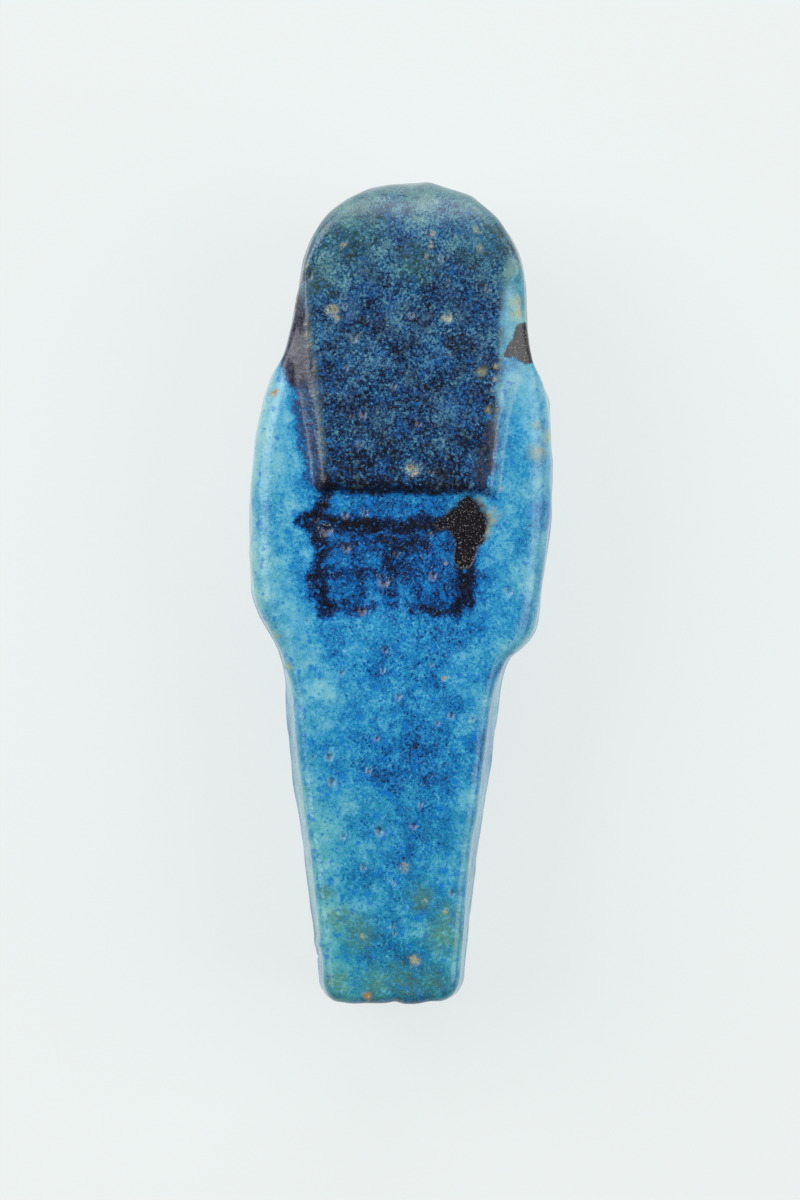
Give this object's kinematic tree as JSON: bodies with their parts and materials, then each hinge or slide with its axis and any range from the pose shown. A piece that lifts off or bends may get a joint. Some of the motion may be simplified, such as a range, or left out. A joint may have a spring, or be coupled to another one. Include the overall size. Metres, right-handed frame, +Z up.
{
  "type": "ushabti figurine",
  "caption": "Mummy-shaped funerary figurine of blue glazed faience with a black-painted wig and seed bag, lying on its front with its flat back up.",
  "frame": {"origin": "middle of the bounding box, in the plane that the toes and fists rest on", "axes": "+Y from the soles to the crown, +X to the right of someone who looks down on the back, +Z up, out of the flat of the back"},
  "size_m": [0.0386, 0.105, 0.0261],
  "materials": {
    "faience": "satin-glossy blue glaze, speckled, with matt black-brown paint"
  },
  "bodies": {
    "root": {"ushabti_figure": "faience"}
  },
  "joints": []
}
